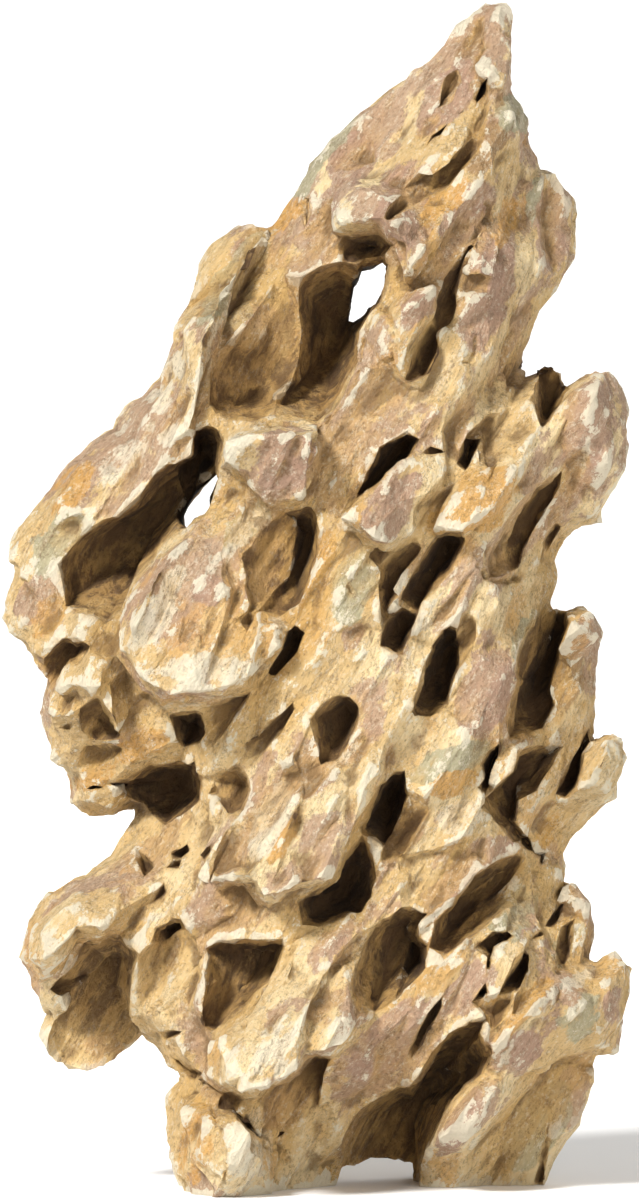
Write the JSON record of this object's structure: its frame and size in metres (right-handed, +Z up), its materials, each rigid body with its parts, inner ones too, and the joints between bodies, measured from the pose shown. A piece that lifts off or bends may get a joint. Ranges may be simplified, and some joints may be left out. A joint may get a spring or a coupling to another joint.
{
  "type": "dragon stone",
  "caption": "Tall pointed ornamental rock, deeply scooped and pierced along a slanting grain, standing on flat-cut feet.",
  "frame": {"origin": "middle of the stone's bounding box, on the surface it stands on", "axes": "+Z up, towards the peak; -Y towards the viewer of the deeply scooped front; +X to the right as seen from the front"},
  "size_m": [0.158, 0.094, 0.297],
  "materials": {
    "stone": "matte"
  },
  "bodies": {
    "root": {"dragon_stone": "stone"}
  },
  "joints": []
}
